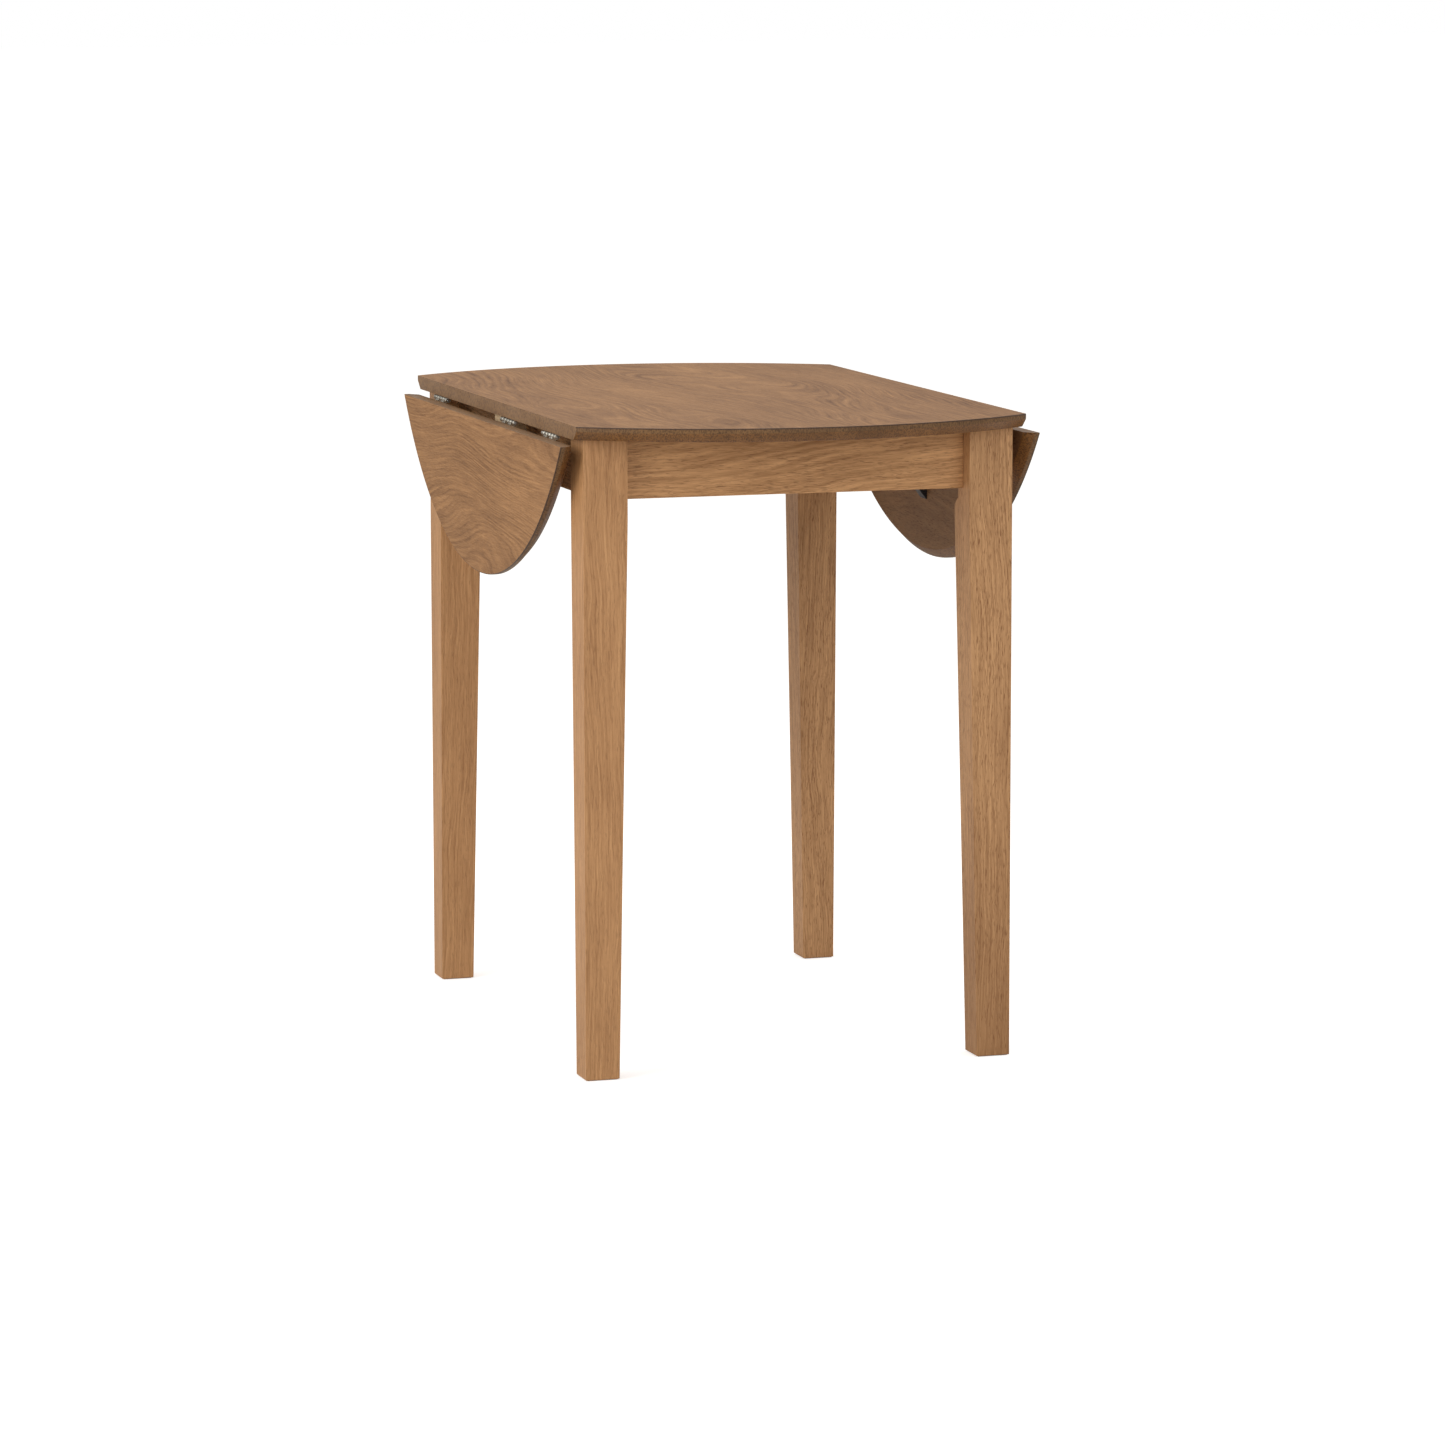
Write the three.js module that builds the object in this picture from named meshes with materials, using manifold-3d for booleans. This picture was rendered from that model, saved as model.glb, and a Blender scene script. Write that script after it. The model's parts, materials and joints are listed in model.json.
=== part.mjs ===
// Round drop leaf table: a fixed centre board on four tapered legs, with a hinged leaf on each side.
// Millimetres, +Z up. X runs across the hinge lines, Y runs along them, the floor is Z = 0.
import * as THREE from 'three';
import { mergeVertices } from 'three/addons/utils/BufferGeometryUtils.js';
import Module from 'manifold-3d';

const wasm = await Module();
wasm.setup();

// Table
const tableDiameter = 900;
const tableHeight = 750;
const panelWidth = 535;
const boardThickness = 16;

// Round edge: an upright band over a bevel that runs back under the board
const edgeBand = 6;
const edgeBevel = 10;
const edgeEase = 0.8;
const discSides = 144;

// Legs
const legTop = 52;
const legFoot = 40;
const legInsetX = 11.6;
const legInsetY = 13;
const legSquareBelowApron = 22;
const legCornerCut = 12.5;
const legCornerCutBelowApron = 12;
const legCornerRamp = 10;
const footEase = 1.5;

// Aprons
const apronHeight = 71;
const apronThickness = 20;
const apronSetBack = 22;

// Hinges
const hingeLength = 60;
const hingePlateWidth = 25;
const hingePlateThickness = 1.6;
const hingeKnuckleRadius = 3;
const hingePinRadius = 1.5;
const hingePinPlay = 0.06;
const hingePinEase = 0.4;
const hingePinPastKnuckles = 0.5;
const hingeKnuckles = 5;
const hingeKnuckleGap = 0.3;
const hingeEndInset = 114;
const hingeDrop = 3.45;
const hingeUnderPanel = 1.65;
const leafGap = 1.5;

// Support bars that slide out under the raised leaves
const barWidth = 48;
const barHeight = 22;
const barLength = 230;
const barStowedInset = 8.5;
const barPlay = 1;
const barToHinge = 12;

// Finger groove under the bar's outer end
const grooveWidth = 26;
const grooveDepth = 6;
const grooveFromApron = 4;
const grooveFromEnd = 6;

// Keeper that carries the bar under the panel, and the peg that stops the bar in it
const keeperLength = 34;
const keeperCheek = 14;
const keeperFloor = 9;
const keeperFromBarEnd = 62;
const pegRadius = 5;
const pegLength = 12;
const pegFromInnerEnd = 14;

// Catch on the leaf that the bar meets when it is pulled out: a block that slopes away to nothing
const catchReach = 76;
const catchBlockLength = 18;
const catchSlopeLength = 17;
const catchWidth = 20;
const catchDepth = 14;
const catchTipDepth = 1;

// Corner blocks and their bolts
const blockHeight = 50;
const blockThickness = 27;
const blockToLeg = 1.4;
const boltRadius = 4;
const boltInLeg = 32;
const boltPastNut = 6;
const nutAcrossCorners = 15;
const nutThickness = 6.5;
const washerRadius = 11;
const washerThickness = 1.6;

// Steel angles that hold the panel to the aprons
const angleLeg = 20;
const angleThickness = 2;
const angleWidth = 18;
const angleSpacing = 240;
const sideAngleFromCentre = 150;

// Gap kept between a turned piece and what it fits in or rests on
const seatGap = 0.3;

// How far a cutting shape runs past what it cuts
const cutPast = 5;

// Worked out from the sizes above
const discRadius = tableDiameter / 2;
const panelHalf = panelWidth / 2;
const underside = tableHeight - boardThickness;
const cornerY = Math.sqrt(discRadius ** 2 - panelHalf ** 2);
const legOuterX = panelHalf - legInsetX;
const legOuterY = cornerY - legInsetY;
const apronBottom = underside - apronHeight;
const frontApronOuterY = legOuterY - apronSetBack;
const sideApronOuterX = legOuterX - apronSetBack;
const pivotX = panelHalf - hingeUnderPanel;
const pivotZ = underside - hingeDrop;
const hingeEndY = cornerY - hingeEndInset;
const middleHingeY = -(barWidth / 2 + barToHinge + hingeLength / 2);
const hingePlaces = { front: -hingeEndY, middle: middleHingeY, back: hingeEndY };
const barTop = underside - barPlay;
const barEndX = panelHalf - barStowedInset;

// Finishes
const boardWood = new THREE.MeshStandardMaterial({ color: 0xa38262, roughness: 0.5, metalness: 0 });
const leafWood = new THREE.MeshStandardMaterial({ color: 0x9b7859, roughness: 0.5, metalness: 0 });
const legWood = new THREE.MeshStandardMaterial({ color: 0xb0875e, roughness: 0.5, metalness: 0 });
const apronWood = new THREE.MeshStandardMaterial({ color: 0xa57d56, roughness: 0.5, metalness: 0 });
const rawWood = new THREE.MeshStandardMaterial({ color: 0xd9bd94, roughness: 0.8, metalness: 0 });
const hingeSteel = new THREE.MeshStandardMaterial({ color: 0xb4b2ac, roughness: 0.35, metalness: 1 });
const boltSteel = new THREE.MeshStandardMaterial({ color: 0x9d9c98, roughness: 0.4, metalness: 1 });
const blackPlastic = new THREE.MeshStandardMaterial({ color: 0x1d1f23, roughness: 0.45, metalness: 0 });

const table = new THREE.Group();

function addPiece(name, geometry, material, parent = table) {
  const piece = new THREE.Mesh(geometry, material);
  piece.name = name;
  parent.add(piece);
  return piece;
}

// Turns a closed geometry into a solid that can be joined and cut
function toSolid(geometry) {
  const bare = geometry.index ? geometry.toNonIndexed() : geometry.clone();
  bare.deleteAttribute('normal');
  bare.deleteAttribute('uv');
  const merged = mergeVertices(bare, 1e-4);
  const vertProperties = new Float32Array(merged.attributes.position.array);
  const triVerts = new Uint32Array(merged.index.array);
  return new wasm.Manifold(new wasm.Mesh({ numProp: 3, vertProperties, triVerts }));
}

function toGeometry(solid) {
  const { vertProperties, triVerts } = solid.getMesh();
  const geometry = new THREE.BufferGeometry();
  geometry.setAttribute('position', new THREE.BufferAttribute(vertProperties, 3));
  geometry.setIndex(new THREE.BufferAttribute(triVerts, 1));
  geometry.computeVertexNormals();
  return geometry;
}

// A box given by its lowest and highest corners
function boxBetween(low, high) {
  const box = new THREE.BoxGeometry(high[0] - low[0], high[1] - low[1], high[2] - low[2]);
  box.translate((low[0] + high[0]) / 2, (low[1] + high[1]) / 2, (low[2] + high[2]) / 2);
  return box;
}

// An outline of [first, second] points, extruded along +Z from 0
function extrudeOutline(points, height) {
  const outline = new THREE.Shape(points.map(([first, second]) => new THREE.Vector2(first, second)));
  return new THREE.ExtrudeGeometry(outline, { depth: height, bevelEnabled: false });
}

// A cylinder along Y between two ends
function rodAlongY(radius, fromY, toY, sides = 24) {
  const rod = new THREE.CylinderGeometry(radius, radius, toY - fromY, sides);
  rod.translate(0, (fromY + toY) / 2, 0);
  return rod;
}

// A cylinder along X between two ends
function rodAlongX(radius, fromX, toX, sides = 24) {
  const rod = new THREE.CylinderGeometry(radius, radius, toX - fromX, sides);
  rod.rotateZ(-Math.PI / 2);
  rod.translate((fromX + toX) / 2, 0, 0);
  return rod;
}

// The whole round top as one disc, from which the panel and both leaves are sawn
function roundTop() {
  const profile = [
    [0, 0],
    [discRadius - edgeBevel, 0],
    [discRadius, boardThickness - edgeBand],
    [discRadius, boardThickness - edgeEase],
    [discRadius - edgeEase, boardThickness],
    [0, boardThickness],
  ];
  const disc = new THREE.LatheGeometry(
    profile.map(([radius, height]) => new THREE.Vector2(radius, height)),
    discSides,
  );
  disc.rotateX(Math.PI / 2);
  disc.translate(0, 0, underside);
  return toSolid(disc);
}

function makeTop() {
  const disc = roundTop();
  const past = discRadius + cutPast;
  const top = tableHeight + cutPast;
  const panelCut = toSolid(boxBetween([-panelHalf, -past, 0], [panelHalf, past, top]));
  addPiece('top_panel', toGeometry(disc.intersect(panelCut)), boardWood);
  const leafCut = toSolid(boxBetween([panelHalf + leafGap, -past, 0], [past, past, top]));
  const leaf = disc.intersect(leafCut);
  for (const side of [-1, 1]) {
    // The leaf is sawn raised on the +X side, then hung down about its hinge line
    const hanging = toGeometry(leaf);
    hanging.translate(-pivotX, 0, -pivotZ);
    hanging.rotateY(Math.PI / 2);
    if (side < 0) hanging.rotateZ(Math.PI);
    hanging.translate(side * pivotX, 0, pivotZ);
    addPiece(side < 0 ? 'left_leaf' : 'right_leaf', hanging, leafWood);
  }
}

// Corner of the frame, as a group whose +X axis runs inwards along the leg's diagonal
function cornerGroup(sideX, sideY) {
  const group = new THREE.Group();
  group.position.set(sideX * legOuterX, sideY * legOuterY, 0);
  group.rotation.z = Math.atan2(-sideY, -sideX);
  table.add(group);
  group.updateMatrixWorld(true);
  return group;
}

// Distance along the diagonal at which the leg's inner corner is cut off
const cutDiagonal = (2 * legTop - legCornerCut) / Math.SQRT2;
const boltZ = apronBottom + apronHeight / 2;
const blockFrom = cutDiagonal + blockToLeg;
const blockTo = blockFrom + blockThickness;

function makeLeg(name, sideX, sideY, corner) {
  const squareFrom = apronBottom - legSquareBelowApron;
  const rings = [
    { height: 0, outset: footEase, width: legFoot - footEase },
    { height: footEase, outset: 0, width: legFoot },
    { height: squareFrom, outset: 0, width: legTop },
    { height: underside, outset: 0, width: legTop },
  ];
  const post = new THREE.BoxGeometry(1, 1, rings.length - 1, 1, 1, rings.length - 1);
  const points = post.attributes.position;
  for (let index = 0; index < points.count; index += 1) {
    const ring = rings[Math.round(points.getZ(index) + (rings.length - 1) / 2)];
    const outwardX = points.getX(index) * sideX > 0;
    const outwardY = points.getY(index) * sideY > 0;
    const x = sideX * (legOuterX - (outwardX ? ring.outset : ring.width));
    const y = sideY * (legOuterY - (outwardY ? ring.outset : ring.width));
    points.setXYZ(index, x, y, ring.height);
  }
  const cutFloor = apronBottom - legCornerCutBelowApron;
  const farDiagonal = 2 * legTop;
  const rampRun = farDiagonal - cutDiagonal;
  const cutOutline = [
    [cutDiagonal, cutFloor],
    [farDiagonal, cutFloor - legCornerRamp * rampRun * Math.SQRT2 / legCornerCut],
    [farDiagonal, underside + cutPast],
    [cutDiagonal, underside + cutPast],
  ];
  const cornerTool = extrudeOutline(cutOutline, 2 * legTop);
  cornerTool.rotateX(Math.PI / 2);
  cornerTool.translate(0, legTop, 0);
  cornerTool.applyMatrix4(corner.matrixWorld);
  const boltStart = cutDiagonal - boltInLeg;
  const boltHole = rodAlongX(boltRadius + seatGap, boltStart - seatGap, farDiagonal);
  boltHole.translate(0, 0, boltZ);
  boltHole.applyMatrix4(corner.matrixWorld);
  const leg = toSolid(post).subtract(toSolid(cornerTool)).subtract(toSolid(boltHole));
  addPiece(name, toGeometry(leg), legWood);
}

function makeCornerBlock(name, corner) {
  const apronFace = apronSetBack + apronThickness + seatGap;
  const halfWidthAt = (diagonal) => diagonal - apronFace * Math.SQRT2;
  const outline = [
    [blockFrom, -halfWidthAt(blockFrom)],
    [blockTo, -halfWidthAt(blockTo)],
    [blockTo, halfWidthAt(blockTo)],
    [blockFrom, halfWidthAt(blockFrom)],
  ];
  const block = extrudeOutline(outline, blockHeight);
  block.translate(0, 0, boltZ - blockHeight / 2);
  const hole = rodAlongX(boltRadius + seatGap, blockFrom - cutPast, blockTo + cutPast);
  hole.translate(0, 0, boltZ);
  addPiece(`corner_block_${name}`, toGeometry(toSolid(block).subtract(toSolid(hole))), rawWood, corner);
}

function makeCornerBolt(name, corner) {
  const nutFrom = blockTo + seatGap;
  const nutTo = nutFrom + washerThickness + nutThickness;
  const bolt = rodAlongX(boltRadius, cutDiagonal - boltInLeg, nutTo + boltPastNut);
  bolt.translate(0, 0, boltZ);
  addPiece(`hanger_bolt_${name}`, bolt, boltSteel, corner);
  const washer = rodAlongX(washerRadius, nutFrom, nutFrom + washerThickness);
  const nut = rodAlongX(nutAcrossCorners / 2, nutFrom, nutTo, 6);
  const bore = rodAlongX(boltRadius + seatGap, nutFrom - cutPast, nutTo + cutPast);
  const flangeNut = toGeometry(toSolid(washer).add(toSolid(nut)).subtract(toSolid(bore)));
  flangeNut.translate(0, 0, boltZ);
  addPiece(`flange_nut_${name}`, flangeNut, boltSteel, corner);
}

function makeCorners() {
  for (const [endName, sideY] of [['front', -1], ['back', 1]]) {
    for (const [sideName, sideX] of [['left', -1], ['right', 1]]) {
      const name = `${endName}_${sideName}`;
      const corner = cornerGroup(sideX, sideY);
      makeLeg(`leg_${name}`, sideX, sideY, corner);
      makeCornerBlock(name, corner);
      makeCornerBolt(name, corner);
    }
  }
}

function makeAprons() {
  const endX = legOuterX - legTop;
  const endY = legOuterY - legTop;
  for (const [name, side] of [['front', -1], ['back', 1]]) {
    const outer = side * frontApronOuterY;
    const inner = side * (frontApronOuterY - apronThickness);
    const low = [-endX, Math.min(outer, inner), apronBottom];
    const high = [endX, Math.max(outer, inner), underside];
    addPiece(`apron_${name}`, boxBetween(low, high), apronWood);
  }
  // The side aprons are notched at the top for the support bars
  const notchHalf = barWidth / 2 + barPlay;
  const notchFloor = barTop - barHeight - barPlay;
  for (const [name, side] of [['left', -1], ['right', 1]]) {
    const outline = [
      [-endY, apronBottom],
      [endY, apronBottom],
      [endY, underside],
      [notchHalf, underside],
      [notchHalf, notchFloor],
      [-notchHalf, notchFloor],
      [-notchHalf, underside],
      [-endY, underside],
    ];
    const apron = extrudeOutline(outline, apronThickness);
    apron.rotateX(Math.PI / 2);
    apron.rotateZ(Math.PI / 2);
    apron.translate(side < 0 ? -sideApronOuterX : sideApronOuterX - apronThickness, 0, 0);
    addPiece(`apron_${name}`, apron, apronWood);
  }
}

// One half of a butt hinge about the Y axis: a plate hanging from its share of the knuckles, with
// the wood it is screwed to at X = hingeDrop
function hingeHalf(firstKnuckle) {
  const plateInner = hingeDrop - hingePlateThickness;
  const plateTop = -(hingeKnuckleRadius + hingeKnuckleGap);
  const halfLength = hingeLength / 2;
  const low = [plateInner, -halfLength, -hingePlateWidth];
  let half = toSolid(boxBetween(low, [hingeDrop, halfLength, plateTop]));
  const step = hingeLength / hingeKnuckles;
  for (let index = firstKnuckle; index < hingeKnuckles; index += 2) {
    const from = -halfLength + index * step + (index === 0 ? 0 : hingeKnuckleGap / 2);
    const to = -halfLength + (index + 1) * step - (index === hingeKnuckles - 1 ? 0 : hingeKnuckleGap / 2);
    const arm = toSolid(boxBetween([plateInner, from, plateTop - hingePlateThickness], [hingeDrop, to, 0]));
    half = half.add(arm).add(toSolid(rodAlongY(hingeKnuckleRadius, from, to)));
  }
  const bore = rodAlongY(hingePinRadius + hingePinPlay, -halfLength - cutPast, halfLength + cutPast);
  return half.subtract(toSolid(bore));
}

function makeHinges() {
  const leafHalf = hingeHalf(1);
  const panelHalfPlate = hingeHalf(0);
  const pinHalf = hingeLength / 2 + hingePinPastKnuckles;
  const pinProfile = [
    [0, -pinHalf],
    [hingePinRadius - hingePinEase, -pinHalf],
    [hingePinRadius, -pinHalf + hingePinEase],
    [hingePinRadius, pinHalf - hingePinEase],
    [hingePinRadius - hingePinEase, pinHalf],
    [0, pinHalf],
  ];
  for (const [sideName, side] of [['left', -1], ['right', 1]]) {
    for (const [place, y] of Object.entries(hingePlaces)) {
      const onLeaf = toGeometry(leafHalf);
      // The plate under the panel is the same shape turned to lie flat, running inwards
      const onPanel = toGeometry(panelHalfPlate);
      onPanel.scale(1, 1, -1);
      onPanel.index.array.reverse();
      onPanel.rotateY(-Math.PI / 2);
      const pin = new THREE.LatheGeometry(pinProfile.map(([r, z]) => new THREE.Vector2(r, z)), 24);
      for (const part of [onLeaf, onPanel, pin]) {
        if (side < 0) part.rotateZ(Math.PI);
        part.translate(side * pivotX, y, pivotZ);
      }
      addPiece(`hinge_${sideName}_${place}_panel_plate`, onPanel, hingeSteel);
      addPiece(`hinge_${sideName}_${place}_leaf_plate`, onLeaf, hingeSteel);
      addPiece(`hinge_${sideName}_${place}_pin`, pin, hingeSteel);
    }
  }
}

function makeSupports() {
  for (const [name, side] of [['left', -1], ['right', 1]]) {
    const turn = (geometry) => {
      if (side < 0) geometry.rotateZ(Math.PI);
      return geometry;
    };
    const barInner = barEndX - barLength;
    const barBottom = barTop - barHeight;
    const pegX = barInner + pegFromInnerEnd;
    const bar = boxBetween([barInner, -barWidth / 2, barBottom], [barEndX, barWidth / 2, barTop]);
    const grooveLow = [sideApronOuterX + grooveFromApron, -grooveWidth / 2, barBottom - cutPast];
    const grooveHigh = [barEndX - grooveFromEnd, grooveWidth / 2, barBottom + grooveDepth];
    const pegHole = new THREE.CylinderGeometry(pegRadius + seatGap, pegRadius + seatGap, pegLength, 24);
    pegHole.rotateX(Math.PI / 2);
    pegHole.translate(pegX, 0, barBottom);
    const grooved = toSolid(bar).subtract(toSolid(boxBetween(grooveLow, grooveHigh)));
    const cutBar = grooved.subtract(toSolid(pegHole));
    addPiece(`${name}_support_bar`, turn(toGeometry(cutBar)), rawWood);

    const peg = new THREE.CylinderGeometry(pegRadius, pegRadius, pegLength, 24);
    peg.rotateX(Math.PI / 2);
    peg.translate(pegX, 0, barBottom - seatGap);
    addPiece(`${name}_bar_stop_peg`, turn(peg), rawWood);

    const keeperTo = barEndX - keeperFromBarEnd;
    const inHalf = barWidth / 2 + barPlay;
    const keeperOutline = [
      [-inHalf - keeperCheek, barBottom - barPlay - keeperFloor],
      [inHalf + keeperCheek, barBottom - barPlay - keeperFloor],
      [inHalf + keeperCheek, underside],
      [inHalf, underside],
      [inHalf, barBottom - barPlay],
      [-inHalf, barBottom - barPlay],
      [-inHalf, underside],
      [-inHalf - keeperCheek, underside],
    ];
    const keeper = extrudeOutline(keeperOutline, keeperLength);
    keeper.rotateX(Math.PI / 2);
    keeper.rotateZ(Math.PI / 2);
    keeper.translate(keeperTo - keeperLength, 0, 0);
    addPiece(`${name}_bar_keeper`, turn(keeper), rawWood);

    // The catch is screwed to the leaf's inner face, which hangs at this X
    const catchFace = pivotX + hingeDrop;
    const catchTop = pivotZ - hingeUnderPanel - leafGap - catchReach;
    const catchTip = catchTop - catchBlockLength - catchSlopeLength;
    const catchOutline = [
      [catchFace, catchTop],
      [catchFace - catchDepth, catchTop],
      [catchFace - catchDepth, catchTop - catchBlockLength],
      [catchFace - catchTipDepth, catchTip],
      [catchFace, catchTip],
    ];
    const leafCatch = extrudeOutline(catchOutline, catchWidth);
    leafCatch.rotateX(Math.PI / 2);
    leafCatch.translate(0, catchWidth / 2, 0);
    addPiece(`${name}_leaf_catch`, turn(leafCatch), blackPlastic);
  }
}

// A steel angle whose corner is at the origin: one arm along +X under the panel, one down
function makeAngle(name, x, y, turnAngle) {
  const outline = [
    [0, 0],
    [0, -angleLeg],
    [angleThickness, -angleLeg],
    [angleThickness, -angleThickness],
    [angleLeg, -angleThickness],
    [angleLeg, 0],
  ];
  const angle = extrudeOutline(outline, angleWidth);
  angle.rotateX(Math.PI / 2);
  angle.translate(0, angleWidth / 2, 0);
  angle.rotateZ(turnAngle);
  angle.translate(x, y, underside);
  addPiece(name, angle, hingeSteel);
}

function makeAngles() {
  const innerY = frontApronOuterY - apronThickness;
  const innerX = sideApronOuterX - apronThickness;
  const halfSpacing = angleSpacing / 2;
  for (const [sideName, sideX] of [['left', -1], ['right', 1]]) {
    makeAngle(`top_angle_front_${sideName}`, sideX * halfSpacing, -innerY, Math.PI / 2);
    makeAngle(`top_angle_back_${sideName}`, sideX * halfSpacing, innerY, -Math.PI / 2);
  }
  makeAngle('top_angle_left', -innerX, sideAngleFromCentre, 0);
  makeAngle('top_angle_right', innerX, sideAngleFromCentre, Math.PI);
}

makeTop();
makeCorners();
makeAprons();
makeHinges();
makeSupports();
makeAngles();

export default table;
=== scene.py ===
import bpy
import bmesh
import json
import math
import random
from mathutils import Vector, Matrix


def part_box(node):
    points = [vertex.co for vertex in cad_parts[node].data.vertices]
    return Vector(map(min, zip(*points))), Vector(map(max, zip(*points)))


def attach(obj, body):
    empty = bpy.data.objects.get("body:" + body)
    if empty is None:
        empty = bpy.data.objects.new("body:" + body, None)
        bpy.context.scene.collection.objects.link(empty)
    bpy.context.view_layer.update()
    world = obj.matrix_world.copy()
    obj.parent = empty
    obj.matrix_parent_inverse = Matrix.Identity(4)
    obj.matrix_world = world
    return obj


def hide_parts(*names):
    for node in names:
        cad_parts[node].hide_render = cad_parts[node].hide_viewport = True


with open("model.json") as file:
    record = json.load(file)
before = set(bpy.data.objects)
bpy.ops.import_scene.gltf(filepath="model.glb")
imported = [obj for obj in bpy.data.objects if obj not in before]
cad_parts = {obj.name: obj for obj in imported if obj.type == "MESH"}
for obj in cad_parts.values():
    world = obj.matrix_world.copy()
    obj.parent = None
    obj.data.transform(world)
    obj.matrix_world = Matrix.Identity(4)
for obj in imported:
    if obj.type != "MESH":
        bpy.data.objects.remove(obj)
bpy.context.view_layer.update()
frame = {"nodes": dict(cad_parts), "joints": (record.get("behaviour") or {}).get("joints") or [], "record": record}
bodyOf = {node: body for body, names in frame["record"]["behaviour"]["bodies"].items() for node in names}
jointOf = {joint["child"]: joint for joint in frame["joints"]}
bothSides = (("left", -1), ("right", 1))
mm = 0.001
tiny = 1e-6
tau = 2 * math.pi
print("frame loaded:", len(frame["nodes"]), "nodes")


def newNode(tree, kind, **settings):
    node = tree.nodes.new(kind)
    for name, value in settings.items():
        setattr(node, name, value)
    return node


def mathNode(tree, operation, first, second=None, third=None):
    node = newNode(tree, "ShaderNodeMath", operation=operation)
    for socket, value in zip(node.inputs, (first, second, third)):
        if value is None:
            continue
        if isinstance(value, (int, float)):
            socket.default_value = value
        else:
            tree.links.new(value, socket)
    return node.outputs[0]


def mixColours(tree, factor, first, second):
    node = newNode(tree, "ShaderNodeMix", data_type="RGBA")
    for socket, value in ((node.inputs[0], factor), (node.inputs[6], first), (node.inputs[7], second)):
        if isinstance(value, (int, float)):
            socket.default_value = value
        elif isinstance(value, tuple):
            socket.default_value = (*value[:3], 1)
        else:
            tree.links.new(value, socket)
    return node.outputs[2]


def smoothStep(tree, value, low, high, toLow=0.0, toHigh=1.0):
    node = newNode(tree, "ShaderNodeMapRange", interpolation_type="SMOOTHSTEP")
    tree.links.new(value, node.inputs["Value"])
    for name, number in (("From Min", low), ("From Max", high), ("To Min", toLow), ("To Max", toHigh)):
        if isinstance(number, (int, float)):
            node.inputs[name].default_value = number
        else:
            tree.links.new(number, node.inputs[name])
    return node.outputs["Result"]


def stretchedNoise(tree, vector, stretch, detail=2.0, roughness=0.5):
    scaled = newNode(tree, "ShaderNodeVectorMath", operation="MULTIPLY")
    tree.links.new(vector, scaled.inputs[0])
    scaled.inputs[1].default_value = stretch
    noise = newNode(tree, "ShaderNodeTexNoise")
    noise.inputs["Scale"].default_value = 1.0
    noise.inputs["Detail"].default_value = detail
    noise.inputs["Roughness"].default_value = roughness
    tree.links.new(scaled.outputs[0], noise.inputs["Vector"])
    return noise.outputs["Fac"]


def newGroup(name, inputs, outputs):
    tree = bpy.data.node_groups.new(name, "ShaderNodeTree")
    for label, kind, value in inputs:
        socket = tree.interface.new_socket(name=label, in_out="INPUT", socket_type=kind)
        if value is not None:
            socket.default_value = value
    for label, kind in outputs:
        tree.interface.new_socket(name=label, in_out="OUTPUT", socket_type=kind)
    return tree, newNode(tree, "NodeGroupInput"), newNode(tree, "NodeGroupOutput")


def srgb(hexCode):
    channels = [int(hexCode[index:index + 2], 16) / 255 for index in (1, 3, 5)]
    return tuple(c / 12.92 if c <= 0.04045 else ((c + 0.055) / 1.055) ** 2.4 for c in channels)


# How often each pattern of the wood changes in a metre: along the grain, across it and in depth.
# The streaks run along the growth lines, so their last two numbers count lines.
woodScales = {
    "wander": (13.0, 24.0, 24.0), "slow": (1.7, 6.0, 6.0), "ripple": (9.0, 60.0, 60.0),
    "fade": (3.0, 16.0, 16.0), "streak": (9.0, 1.25, 1.0), "fibre": (40.0, 900.0, 900.0),
    "patch": (2.2, 13.0, 13.0), "pore": (90.0, 1300.0, 1300.0), "crowd": (9.0, 70.0, 70.0),
}
woodMix = {
    "depth": 0.8,               # how much the growth lines shift with depth
    "ripple": 0.8,              # small waves in the growth lines, in lines
    "fibre": 0.45,              # fibres against streaks
    "grainMiddle": 0.72,
    "crowding": 0.22,           # how far the pores gather in some places
    "middleTone": 0.36,
    "lineRise": (0.15, 0.8), "lineFall": (0.84, 1.0),       # each growth line, as shares of its width
    "fadeRange": (0.36, 0.66), "faintest": 0.25,            # where the growth lines fade, and how far
    "poreRange": (0.57, 0.67),
    "fibreGroove": 0.35, "lineGroove": 0.15, "poreGloss": 0.6, "fibreGloss": 0.5,
}


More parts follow.
